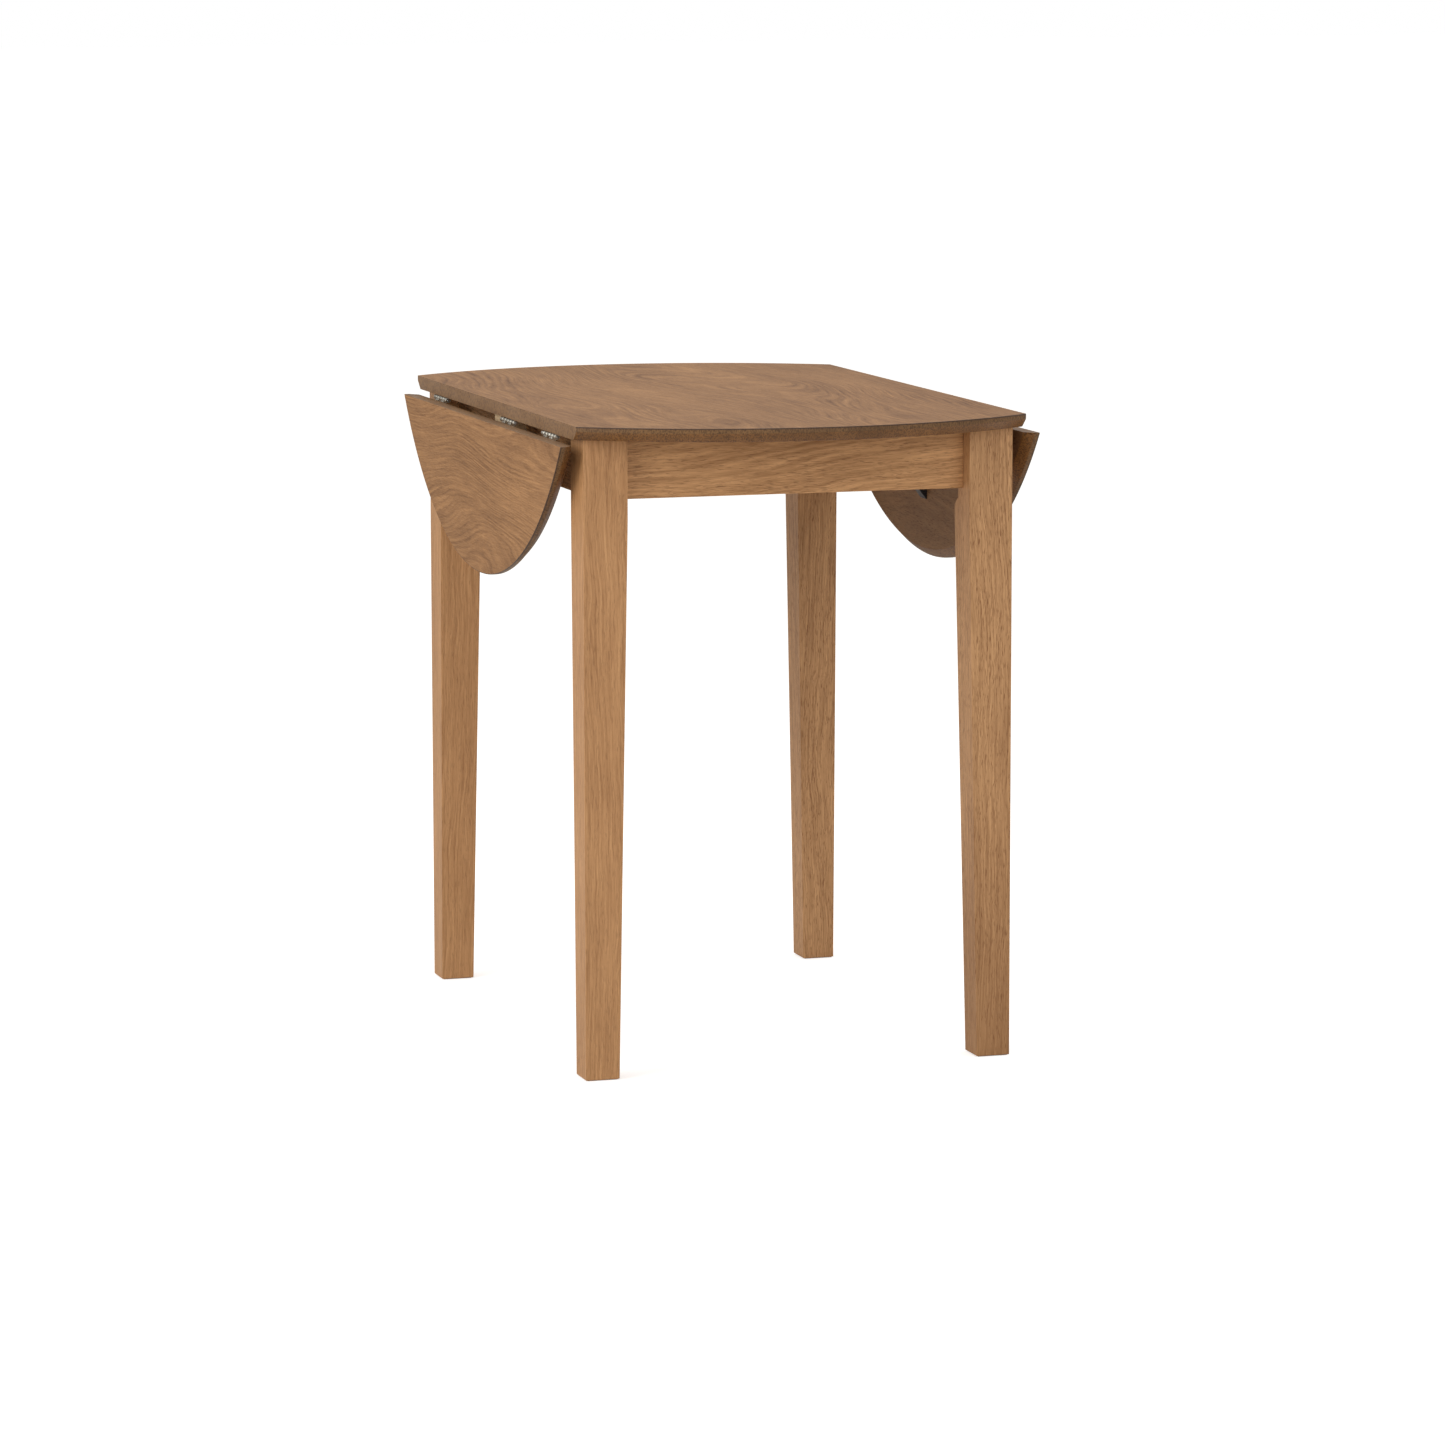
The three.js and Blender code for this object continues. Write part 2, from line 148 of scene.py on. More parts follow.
# Wood: growth lines as contours of a slow noise drawn out along the grain, then streaks, fibres,
# pores and broad patches. The vector's X runs along the grain, in metres.
def makeWoodGroup():
    scales, mix = woodScales, woodMix
    tree, given, out = newGroup("woodGrain", [
        ("Vector", "NodeSocketVector", None),
        ("light", "NodeSocketColor", (0.4, 0.25, 0.13, 1)),
        ("dark", "NodeSocketColor", (0.2, 0.11, 0.05, 1)),
        ("poreColour", "NodeSocketColor", (0.1, 0.05, 0.02, 1)),
        ("linesPerMetre", "NodeSocketFloat", 90.0),
        ("swirl", "NodeSocketFloat", 14.0),
        ("wave", "NodeSocketFloat", 0.004),
        ("lineStrength", "NodeSocketFloat", 0.5),
        ("streakStrength", "NodeSocketFloat", 0.5),
        ("patchStrength", "NodeSocketFloat", 0.4),
        ("poreAmount", "NodeSocketFloat", 0.5),
    ], [("Color", "NodeSocketColor"), ("Height", "NodeSocketFloat"), ("glossMask", "NodeSocketFloat")])
    get = given.outputs
    wander = stretchedNoise(tree, get["Vector"], scales["wander"])
    shift = mathNode(tree, "MULTIPLY", mathNode(tree, "SUBTRACT", wander, 0.5), get["wave"])
    sideways = newNode(tree, "ShaderNodeCombineXYZ")
    tree.links.new(shift, sideways.inputs[1])
    tree.links.new(shift, sideways.inputs[2])
    bent = newNode(tree, "ShaderNodeVectorMath", operation="ADD")
    tree.links.new(get["Vector"], bent.inputs[0])
    tree.links.new(sideways.outputs[0], bent.inputs[1])
    vector = bent.outputs[0]
    split = newNode(tree, "ShaderNodeSeparateXYZ")
    tree.links.new(vector, split.inputs[0])
    slow = stretchedNoise(tree, vector, scales["slow"], 1.2, 0.4)
    ripple = stretchedNoise(tree, vector, scales["ripple"])
    across = mathNode(tree, "MULTIPLY", split.outputs[1], get["linesPerMetre"])
    depth = mathNode(tree, "MULTIPLY", split.outputs[2], get["linesPerMetre"])
    swirl = mathNode(tree, "MULTIPLY", mathNode(tree, "SUBTRACT", slow, 0.5), get["swirl"])
    field = mathNode(tree, "ADD", across, swirl)
    field = mathNode(tree, "ADD", field, mathNode(tree, "MULTIPLY", depth, mix["depth"]))
    field = mathNode(tree, "ADD", field, mathNode(tree, "MULTIPLY", ripple, mix["ripple"]))
    cycle = mathNode(tree, "FRACT", field)
    rise = smoothStep(tree, cycle, *mix["lineRise"])
    fall = smoothStep(tree, cycle, *mix["lineFall"], 1.0, 0.0)
    line = mathNode(tree, "MULTIPLY", rise, fall)
    fade = stretchedNoise(tree, vector, scales["fade"])
    fade = smoothStep(tree, fade, *mix["fadeRange"], mix["faintest"], 1.0)
    line = mathNode(tree, "MULTIPLY", line, fade)
    contour = newNode(tree, "ShaderNodeCombineXYZ")
    tree.links.new(split.outputs[0], contour.inputs[0])
    tree.links.new(field, contour.inputs[1])
    streak = stretchedNoise(tree, contour.outputs[0], scales["streak"], 4.0, 0.62)
    fibre = stretchedNoise(tree, vector, scales["fibre"], 2.0, 0.6)
    patch = stretchedNoise(tree, vector, scales["patch"], 3.0, 0.55)
    poreNoise = stretchedNoise(tree, vector, scales["pore"], 1.5)
    crowd = stretchedNoise(tree, vector, scales["crowd"])
    reach = mathNode(tree, "MULTIPLY", mathNode(tree, "SUBTRACT", crowd, 0.5), mix["crowding"])
    pores = smoothStep(tree, mathNode(tree, "ADD", poreNoise, reach), *mix["poreRange"])
    pores = mathNode(tree, "MULTIPLY", pores, get["poreAmount"])
    tone = mathNode(tree, "MULTIPLY", line, get["lineStrength"])
    grain = mathNode(tree, "ADD", mathNode(tree, "MULTIPLY", fibre, mix["fibre"]), streak)
    grain = mathNode(tree, "SUBTRACT", grain, mix["grainMiddle"])
    streakTone = mathNode(tree, "MULTIPLY", grain, get["streakStrength"])
    patchTone = mathNode(tree, "MULTIPLY", mathNode(tree, "SUBTRACT", patch, 0.5), get["patchStrength"])
    tone = mathNode(tree, "ADD", mathNode(tree, "ADD", tone, streakTone), patchTone)
    node = newNode(tree, "ShaderNodeMath", operation="ADD", use_clamp=True)
    tree.links.new(tone, node.inputs[0])
    node.inputs[1].default_value = mix["middleTone"]
    colour = mixColours(tree, node.outputs[0], get["light"], get["dark"])
    colour = mixColours(tree, pores, colour, get["poreColour"])
    tree.links.new(colour, out.inputs["Color"])
    grooves = mathNode(tree, "SUBTRACT", mathNode(tree, "MULTIPLY", fibre, mix["fibreGroove"]), pores)
    height = mathNode(tree, "SUBTRACT", grooves, mathNode(tree, "MULTIPLY", line, mix["lineGroove"]))
    tree.links.new(height, out.inputs["Height"])
    fibreGloss = mathNode(tree, "MULTIPLY", fibre, mix["fibreGloss"])
    gloss = mathNode(tree, "MULTIPLY_ADD", pores, mix["poreGloss"], fibreGloss)
    tree.links.new(gloss, out.inputs["glossMask"])
    return tree


# Fine soft speckle and slow smudges, for stained edges, plated steel and plastic
speckleScales = {"fine": (700.0, 1300.0, 700.0), "smudge": (16.0, 34.0, 34.0)}


def makeSpeckleGroup():
    tree, given, out = newGroup("speckle", [
        ("Vector", "NodeSocketVector", None),
        ("grainSize", "NodeSocketFloat", 1.0),
    ], [("fine", "NodeSocketFloat"), ("smudge", "NodeSocketFloat")])
    scaled = newNode(tree, "ShaderNodeVectorMath", operation="SCALE")
    tree.links.new(given.outputs["Vector"], scaled.inputs[0])
    tree.links.new(given.outputs["grainSize"], scaled.inputs["Scale"])
    fine = stretchedNoise(tree, scaled.outputs[0], speckleScales["fine"], 3.0, 0.6)
    smudge = stretchedNoise(tree, scaled.outputs[0], speckleScales["smudge"], 3.0, 0.55)
    tree.links.new(fine, out.inputs["fine"])
    tree.links.new(smudge, out.inputs["smudge"])
    return tree


woodGroup = makeWoodGroup()
speckleGroup = makeSpeckleGroup()


def startMaterial(name):
    material = bpy.data.materials.new(name)
    material.use_nodes = True
    tree = material.node_tree
    shader = tree.nodes["Principled BSDF"]
    return material, tree, shader


def grainVector(tree):
    return newNode(tree, "ShaderNodeAttribute", attribute_name="grain").outputs["Vector"]


def addBump(tree, shader, height, distance):
    bump = newNode(tree, "ShaderNodeBump")
    bump.inputs["Distance"].default_value = distance
    tree.links.new(height, bump.inputs["Height"])
    tree.links.new(bump.outputs["Normal"], shader.inputs["Normal"])


woodFinish = {"smoother": 0.07, "rougher": 0.12, "footLow": 0.02, "footHigh": 0.34}


# Painted shade near the floor: when a foot shade is given, a leg's colour darkens towards its dark wood colour
# from a third of a metre up down to the foot
def makeWood(name, light, dark, pore, roughness, bump, gloss, footShade=0.0, **grain):
    material, tree, shader = startMaterial(name)
    wood = newNode(tree, "ShaderNodeGroup", node_tree=woodGroup)
    tree.links.new(grainVector(tree), wood.inputs["Vector"])
    for label, value in (("light", light), ("dark", dark), ("poreColour", pore)):
        wood.inputs[label].default_value = (*srgb(value), 1)
    for label, value in grain.items():
        wood.inputs[label].default_value = value
    colour = wood.outputs["Color"]
    # painted shade: low on the leg the colour is mixed towards the dark wood colour
    if footShade:
        split = newNode(tree, "ShaderNodeSeparateXYZ")
        tree.links.new(newNode(tree, "ShaderNodeTexCoord").outputs["Object"], split.inputs[0])
        low, high = woodFinish["footLow"], woodFinish["footHigh"]
        shade = smoothStep(tree, split.outputs[2], low, high, footShade, 0.0)
        colour = mixColours(tree, shade, colour, srgb(dark))
    tree.links.new(colour, shader.inputs["Base Color"])
    spread = newNode(tree, "ShaderNodeMapRange")
    tree.links.new(wood.outputs["glossMask"], spread.inputs["Value"])
    spread.inputs["To Min"].default_value = roughness - woodFinish["smoother"]
    spread.inputs["To Max"].default_value = roughness + woodFinish["rougher"]
    tree.links.new(spread.outputs["Result"], shader.inputs["Roughness"])
    shader.inputs["Specular IOR Level"].default_value = gloss
    addBump(tree, shader, wood.outputs["Height"], bump)
    return material


figuredWood = dict(light="#d0a070", dark="#7a4f29", pore="#744826", roughness=0.52, bump=0.00008,
                   gloss=0.3, linesPerMetre=340.0, swirl=24.0, wave=0.007, lineStrength=0.12,
                   streakStrength=1.4, patchStrength=0.7, poreAmount=0.7)
woods = {
    "veneer": dict(light="#ab7e52", dark="#654224", pore="#53361f", roughness=0.55, bump=0.00004, gloss=0.15,
                   linesPerMetre=155.0, swirl=44.0, wave=0.002, lineStrength=0.22, streakStrength=1.6,
                   patchStrength=0.75, poreAmount=0.25),
    "legWood": dict(light="#cb9a6a", dark="#845730", pore="#5f3d24", roughness=0.52, bump=0.00006, gloss=0.3,
                    linesPerMetre=320.0, swirl=18.0, wave=0.006, lineStrength=0.08, streakStrength=1.3,
                    patchStrength=0.6, poreAmount=0.3),
    "figuredLegWood": figuredWood,
    # painted shade: this leg's wood darkens towards the floor
    "paintedShadeFootLegWood": dict(figuredWood, footShade=0.42),
    "apronWood": dict(light="#d7a471", dark="#82572f", pore="#583820", roughness=0.52, bump=0.00006,
                      gloss=0.3, linesPerMetre=190.0, swirl=24.0, wave=0.005, lineStrength=0.2,
                      streakStrength=1.6, patchStrength=0.8, poreAmount=0.5),
    "rawWood": dict(light="#e6cda8", dark="#c09c6c", pore="#9b7648", roughness=0.72, bump=0.0001, gloss=0.3,
                    linesPerMetre=130.0, swirl=8.0, wave=0.006, lineStrength=0.12, streakStrength=0.9,
                    patchStrength=0.5, poreAmount=0.3),
    "darkUnderside": dict(light="#977350", dark="#66482e", pore="#452e1b", roughness=0.6, bump=0.00006,
                          gloss=0.2, linesPerMetre=110.0, swirl=30.0, wave=0.004, lineStrength=0.1,
                          streakStrength=1.2, patchStrength=0.5, poreAmount=0.5),
}
finishes = {name: makeWood(name, **values) for name, values in woods.items()}


edgeFinish = {"grainSize": 0.55, "fleck": 0.85, "fleckRange": (0.4, 0.66), "smudge": 0.35,
              "smudgeRange": (0.35, 0.7), "roughRange": (0.3, 0.7), "roughness": (0.44, 0.58),
              "gloss": 0.4, "bump": 0.00005}


# The boards' stained edges: close speckle over a plain brown
def makeStainedEdge(name, base, dark):
    v = edgeFinish
    material, tree, shader = startMaterial(name)
    speckle = newNode(tree, "ShaderNodeGroup", node_tree=speckleGroup)
    speckle.inputs["grainSize"].default_value = v["grainSize"]
    tree.links.new(grainVector(tree), speckle.inputs["Vector"])
    fleck = smoothStep(tree, speckle.outputs["fine"], *v["fleckRange"])
    fleck = mathNode(tree, "MULTIPLY", fleck, v["fleck"])
    colour = mixColours(tree, fleck, srgb(base), srgb(dark))
    patch = smoothStep(tree, speckle.outputs["smudge"], *v["smudgeRange"])
    patch = mathNode(tree, "MULTIPLY", patch, v["smudge"])
    colour = mixColours(tree, patch, colour, srgb(dark))
    tree.links.new(colour, shader.inputs["Base Color"])
    rough = smoothStep(tree, speckle.outputs["smudge"], *v["roughRange"], *v["roughness"])
    tree.links.new(rough, shader.inputs["Roughness"])
    shader.inputs["Specular IOR Level"].default_value = v["gloss"]
    addBump(tree, shader, speckle.outputs["fine"], v["bump"])
    return material


metalFinish = {"smudgeRange": (0.35, 0.7), "fineRange": (0.3, 0.75), "smoother": 0.06,
               "rougher": 0.14}


def makeMetal(name, base, dark, roughness, bump):
    v = metalFinish
    material, tree, shader = startMaterial(name)
    speckle = newNode(tree, "ShaderNodeGroup", node_tree=speckleGroup)
    tree.links.new(newNode(tree, "ShaderNodeTexCoord").outputs["Object"], speckle.inputs["Vector"])
    smudge = smoothStep(tree, speckle.outputs["smudge"], *v["smudgeRange"])
    tree.links.new(mixColours(tree, smudge, srgb(base), srgb(dark)), shader.inputs["Base Color"])
    shader.inputs["Metallic"].default_value = 1.0
    low, high = roughness - v["smoother"], roughness + v["rougher"]
    rough = smoothStep(tree, speckle.outputs["fine"], *v["fineRange"], low, high)
    tree.links.new(rough, shader.inputs["Roughness"])
    addBump(tree, shader, speckle.outputs["fine"], bump)
    return material


plasticFinish = {"smudgeRange": (0.3, 0.7), "smoother": 0.05, "rougher": 0.1}


def makePlastic(name, base, dark, roughness, bump):
    v = plasticFinish
    material, tree, shader = startMaterial(name)
    speckle = newNode(tree, "ShaderNodeGroup", node_tree=speckleGroup)
    tree.links.new(newNode(tree, "ShaderNodeTexCoord").outputs["Object"], speckle.inputs["Vector"])
    smudge = smoothStep(tree, speckle.outputs["smudge"], *v["smudgeRange"])
    tree.links.new(mixColours(tree, smudge, srgb(base), srgb(dark)), shader.inputs["Base Color"])
    low, high = roughness - v["smoother"], roughness + v["rougher"]
    rough = smoothStep(tree, speckle.outputs["smudge"], *v["smudgeRange"], low, high)
    tree.links.new(rough, shader.inputs["Roughness"])
    addBump(tree, shader, speckle.outputs["fine"], bump)
    return material


stains = {
    "edgeBand": ("#7b5832", "#432b13"), "edgeBevel": ("#82572a", "#43280e"),
    "edgeLine": ("#4f3521", "#382312"), "sawnEdge": ("#8a663f", "#5f4125"),
}
metals = {
    "nickel": ("#cfcabd", "#a8a294", 0.28, 0.00001),
    "zinc": ("#c4c4c2", "#8f8f8c", 0.38, 0.00002),
    "screwSteel": ("#d8d3c4", "#a79f8c", 0.3, 0.00001),
}
for name, values in stains.items():
    finishes[name] = makeStainedEdge(name, *values)
for name, values in metals.items():
    finishes[name] = makeMetal(name, *values)
finishes["blackPlastic"] = makePlastic("blackPlastic", "#23262b", "#15171a", 0.42, 0.00004)
print("materials made:", len(finishes))


# Writes where each point lies in the plank it was cut from: X along the grain, in metres
def setGrain(mesh, along, across, seed):
    along = Vector(along).normalized()
    depth = along.cross(Vector(across)).normalized()
    across = depth.cross(along)
    dice = random.Random(seed)
    shift = Vector([dice.uniform(-4, 4) for _ in range(3)])
    attribute = mesh.attributes.new("grain", "FLOAT_VECTOR", "POINT")
    for vertex, row in zip(mesh.vertices, attribute.data):
        row.vector = Vector((vertex.co.dot(along), vertex.co.dot(across), vertex.co.dot(depth))) + shift


def finishPiece(name, bm, body, materials, replaced=(), along=(1, 0, 0), across=(0, 1, 0), seed=1):
    mesh = bpy.data.meshes.new(name)
    bmesh.ops.recalc_face_normals(bm, faces=bm.faces)
    bm.to_mesh(mesh)
    bm.free()
    for material in materials:
        mesh.materials.append(finishes[material])
    setGrain(mesh, along, across, seed)
    piece = bpy.data.objects.new(name, mesh)
    bpy.context.scene.collection.objects.link(piece)
    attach(piece, body)
    if replaced:
        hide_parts(*replaced)


# A CAD node's shape as clean faces, with its edges rounded over by width, or less on every edge
# where a short edge leaves no room for it
def easedShape(node, width, segments=2, minAngle=25):
    bm = bmesh.new()
    bm.from_mesh(frame["nodes"][node].data)
    bmesh.ops.remove_doubles(bm, verts=bm.verts, dist=tiny)
    bmesh.ops.dissolve_limit(bm, angle_limit=math.radians(1), verts=bm.verts, edges=bm.edges)
    for face in bm.faces:
        face.smooth = False
    sharp = [e for e in bm.edges if len(e.link_faces) == 2 and e.calc_face_angle() > math.radians(minAngle)]
    made = bmesh.ops.bevel(bm, geom=sharp, offset=width, segments=segments, profile=0.5,
                           affect="EDGES", clamp_overlap=True)
    for face in made["faces"]:
        face.smooth = True
    return bm


# Widens the eased edge under a foot: what lies lower than small is stretched up to large and drawn in
def easeFoot(bm, small, large):
    low = [vert for vert in bm.verts if vert.co.z < small + tiny]
    grow = large / small
    middle = [(min(v.co[axis] for v in low) + max(v.co[axis] for v in low)) / 2 for axis in (0, 1)]
    for vert in low:
        inset = small - math.sqrt(max(0, small ** 2 - (small - vert.co.z) ** 2))
        for axis in (0, 1):
            vert.co[axis] -= math.copysign(inset * (grow - 1), vert.co[axis] - middle[axis])
        vert.co.z *= grow


# A ring of points about +Z; the radius may be a function of the angle
def addRing(bm, matrix, radius, height, sides):
    ring = []
    for angle in (tau * k / sides for k in range(sides)):
        reach = radius(angle) if callable(radius) else radius
        point = Vector((reach * math.cos(angle), reach * math.sin(angle), height))
        ring.append(bm.verts.new(matrix @ point))
    return ring


def joinRings(bm, low, high, smooth=True):
    sides = len(low)
    for k in range(sides):
        after = (k + 1) % sides
        bm.faces.new((low[k], low[after], high[after], high[k])).smooth = smooth


# A solid turned about +Z from points of (radius, height)
def addTurned(bm, profile, sides, matrix=Matrix()):
    rings = [addRing(bm, matrix, radius, height, sides) for radius, height in profile]
    for low, high in zip(rings, rings[1:]):
        joinRings(bm, low, high)
    bm.faces.new(rings[0])
    bm.faces.new(rings[-1])


# An outline of (first, second) points swept from low to high along the third axis
def addSwept(bm, outline, low, high, matrix=Matrix(), rounded=()):
    near = [bm.verts.new(matrix @ Vector((p, q, low))) for p, q in outline]
    far = [bm.verts.new(matrix @ Vector((p, q, high))) for p, q in outline]
    count = len(outline)
    for k in range(count):
        after = (k + 1) % count
        bm.faces.new((near[k], near[after], far[after], far[k])).smooth = k in rounded
    bm.faces.new(near)
    bm.faces.new(far)


# Boards: one disc sawn into the centre board and two leaves
boardValues = {
    "bevelRun": 10 * mm,        # how far the edge's bevel runs back underneath
    "band": 6 * mm,             # upright part of the round edge
    "round": 0.9 * mm,          # rounding of the upper arris
    "line": 1.5 * mm,           # dark line where the veneer meets the band
    "kinkRound": 1.2 * mm,      # rounding where the bevel meets the band
    "lowRound": 0.4 * mm,       # rounding of the lower arris
    "sawnEase": 0.5 * mm,       # edges broken along the hinge lines
    "easedBy": (0.75, 0.9, 0.1),    # places of the lower arris's and the kink's outer points
    "sides": 720,
    "finishes": ["veneer", "edgeBand", "edgeBevel", "darkUnderside", "sawnEdge", "edgeLine"],
    "seeds": {"centre": 11, "left": 5, "right": 8},     # where in the plank each board is cut from
}


def cornerArc(centre, radius, start, end, steps):
    angles = [math.radians(start + (end - start) * k / steps) for k in range(steps + 1)]
    return [(centre[0] + radius * math.cos(a), centre[1] + radius * math.sin(a)) for a in angles]


# From the lower arris up the bevel and the band, and over the upper arris, as (radius, height)
def discProfile(radius, low, high):
    v = boardValues
    slope = math.atan2(high - low - v["band"], v["bevelRun"])
    kink, toe = high - v["band"], radius - v["bevelRun"]
    back, arris = v["kinkRound"], v["lowRound"]
    out, up, inset = v["easedBy"]
    points = [(toe - arris, low), (toe + arris * out, low + arris * up)]
    points += [(radius - back * math.cos(slope), kink - back * math.sin(slope))]
    points += [(radius - back * inset, kink + back * inset), (radius, kink + back)]
    points += [(radius, high - v["line"])]
    return points + cornerArc((radius - v["round"], high - v["round"]), v["round"], 0, 90, 4)


def discFinish(face, low, high):
    v = boardValues
    height = face.calc_center_median().z
    if len(face.verts) > 4:
        return "veneer" if height > (low + high) / 2 else "darkUnderside"
    if height > high - v["line"]:
        return "edgeLine"
    return "edgeBand" if height > high - v["band"] else "edgeBevel"


# cuts are (side, place): the board is sawn across X at the place, and what lies to that side falls off
def makeBoard(name, node, body, discRadius, low, high, cuts, seed, hang=None):
    v = boardValues
    numberOf = {finish: number for number, finish in enumerate(v["finishes"])}
    sawn = numberOf["sawnEdge"]
    bm = bmesh.new()
    addTurned(bm, discProfile(discRadius, low, high), v["sides"])
    for face in bm.faces:
        face.material_index = numberOf[discFinish(face, low, high)]
        face.smooth = len(face.verts) == 4
    for side, place in cuts:
        everything = bm.verts[:] + bm.edges[:] + bm.faces[:]
        cut = bmesh.ops.bisect_plane(bm, geom=everything, dist=tiny / 10, plane_co=(place, 0, 0),
                                     plane_no=(side, 0, 0), clear_outer=True)
        rim = [e for e in cut["geom_cut"] if isinstance(e, bmesh.types.BMEdge)]
        for face in bmesh.ops.contextual_create(bm, geom=rim)["faces"]:
            face.material_index = sawn
            face.smooth = False
        straight = []
        for e in (e for e in rim if e.is_valid):
            heights = [vert.co.z for vert in e.verts]
            if min(heights) > high - tiny or max(heights) < low + tiny:
                straight.append(e)
        eased = bmesh.ops.bevel(bm, geom=straight, offset=v["sawnEase"], segments=2, profile=0.5,
                                affect="EDGES", clamp_overlap=True, material=sawn)
        for face in eased["faces"]:
            face.smooth = True
    if hang:
        pivot, turn = hang
        bm.transform(Matrix.Translation(pivot) @ turn @ Matrix.Translation(-pivot))
    across = (0, 0, 1) if hang else (1, 0, 0)
    finishPiece(name, bm, body, v["finishes"], [node], (0, 1, 0), across, seed)


panelLow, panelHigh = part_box("top_panel")
discRadius = panelHigh.y
makeBoard("centreBoard", "top_panel", "frame", discRadius, panelLow.z, panelHigh.z,
          ((1, panelHigh.x), (-1, panelLow.x)), boardValues["seeds"]["centre"])
for sideName, side in bothSides:
    joint = jointOf[sideName + "_leaf"]
    pivot = Vector(joint["pos_m"])
    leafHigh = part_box(sideName + "_leaf")[1]
    sawn = abs(pivot.x) + pivot.z - leafHigh.z
    down = Matrix.Rotation(-math.pi / 2, 4, Vector(joint["axis"]))
    leaf = sideName + "_leaf"
    makeBoard(sideName + "LeafBoard", leaf, leaf, discRadius, panelLow.z, panelHigh.z,
              ((-side, side * sawn),), boardValues["seeds"][sideName], (pivot, down))
print("boards made")


# Legs, aprons, blocks and bars: planks with their edges rounded over
legValues = {
    "along": (0, 0, 1), "across": (1, 0, 0),
    "round": 1.1 * mm,          # the foot's short edges hold it back to about 0.25 mm
    "footEase": 2.8 * mm,       # how high the foot's lowest 1.1 mm are stretched
}
planks = {
    "quietLegs": {"nodes": ["leg_front_left", "leg_back_left"], "finish": "legWood", "seed": 20,
                  **legValues},
    # the front right leg carries the painted shade towards its foot
    "paintedShadeFootLeg": {"nodes": ["leg_front_right"], "finish": "paintedShadeFootLegWood", "seed": 25, **legValues},
    "figuredLeg": {"nodes": ["leg_back_right"], "finish": "figuredLegWood", "seed": 26, **legValues},
    "endAprons": {"nodes": ["apron_front", "apron_back"], "finish": "apronWood", "along": (1, 0, 0),
                  "across": (0, 0, 1), "round": 0.8 * mm, "seed": 40},
    "sideAprons": {"nodes": ["apron_left", "apron_right"], "finish": "apronWood", "along": (0, 1, 0),
                   "across": (0, 0, 1), "round": 0.8 * mm, "seed": 50},
    "bars": {"nodes": ["left_support_bar", "right_support_bar"], "finish": "rawWood", "along": (1, 0, 0),
             "across": (0, 1, 0), "round": 1.0 * mm, "seed": 60},
    "keepers": {"nodes": ["left_bar_keeper", "right_bar_keeper"], "finish": "rawWood", "along": (0, 1, 0),
                "across": (0, 0, 1), "round": 0.8 * mm, "seed": 70},
}
blockValues = {"round": 0.8 * mm, "segments": 2, "minAngle": 40, "seed": 80}


def camelName(node):
    words = node.split("_")
    return words[0] + "".join(word.capitalize() for word in words[1:])


def makePlanks():
    for kind in planks.values():
        for count, node in enumerate(kind["nodes"]):
            bm = easedShape(node, kind["round"], segments=3)
            if "footEase" in kind:
                easeFoot(bm, kind["round"], kind["footEase"])
            finishPiece(camelName(node), bm, bodyOf[node], [kind["finish"]], [node],
                        kind["along"], kind["across"], kind["seed"] + count)


def makeCornerBlock(end, sideName):
    v = blockValues
    node = f"corner_block_{end}_{sideName}"
    low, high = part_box(node)
    middle = (low + high) / 2
    along = Vector((math.copysign(1, middle.x), -math.copysign(1, middle.y), 0))
    bm = easedShape(node, v["round"], v["segments"], v["minAngle"])
    seed = v["seed"] + len(end) + len(sideName)
    finishPiece(camelName(node), bm, "frame", ["rawWood"], [node], along, (0, 0, 1), seed)


corners = [(end, sideName) for end in ("front", "back") for sideName in ("left", "right")]
makePlanks()
for corner in corners:
    makeCornerBlock(*corner)
print("planks made")


# Screws: a head with a cross recess, laid on the face that it holds
screwValues = {
    "radius": 3.1 * mm, "dome": 0.35 * mm, "rim": 0.12 * mm, "neck": 1.1 * mm,
    "slotHalf": 0.45 * mm, "slotReach": 1.9 * mm, "slotDepth": 0.9 * mm, "slotTaper": 0.72, "sides": 32,
    "shares": (0.62, 0.93, 0.72),               # neck, shoulder and crown, of the head's radius
    "shoulderRise": 0.3, "slotRise": 1.06,      # of the dome
}


def addScrewHead(bm, matrix, scale=1.0):
    v = screwValues
    matrix = matrix @ Matrix.Scale(scale, 4)
    half, reach, radius, dome = v["slotHalf"], v["slotReach"], v["radius"], v["dome"]
    neck, shoulder, crown = (radius * share for share in v["shares"])
    profile = [(neck, -v["neck"]), (radius, 0.0), (radius, v["rim"]),
               (shoulder, v["rim"] + dome * v["shoulderRise"]), (crown, dome)]
    rings = [addRing(bm, matrix, r, height, v["sides"]) for r, height in profile]
    for low, high in zip(rings, rings[1:]):
        joinRings(bm, low, high)
    bm.faces.new(rings[0])
    cross = []
    for quarter in range(4):
        turn = Matrix.Rotation(-quarter * math.pi / 2, 2)
        cross += [turn @ Vector(p) for p in ((-half, reach), (half, reach), (half, half))]
    mouth = [bm.verts.new(matrix @ Vector((p.x, p.y, dome * v["slotRise"]))) for p in cross]
    taper, bottom = v["slotTaper"], dome - v["slotDepth"]
    floor = [bm.verts.new(matrix @ Vector((p.x * taper, p.y * taper, bottom))) for p in cross]
    joinRings(bm, mouth, floor, False)
    bm.faces.new(floor)
    around = []
    for ring in (rings[-1], mouth):
        around += [bm.edges.get((ring[k - 1], ring[k])) for k in range(len(ring))]
    bmesh.ops.triangle_fill(bm, edges=around, use_beauty=True)


# places: (point, outward direction) of each head; all heads of one set are one piece
def makeScrews(name, body, places, scale=1.0):
    bm = bmesh.new()
    dice = random.Random(name)
    for point, outward in places:
        turn = Vector((0, 0, 1)).rotation_difference(Vector(outward)).to_matrix().to_4x4()
        spin = Matrix.Rotation(dice.uniform(0, tau), 4, "Z")
        addScrewHead(bm, Matrix.Translation(point) @ turn @ spin, scale)
    finishPiece(name, bm, body, ["screwSteel"])


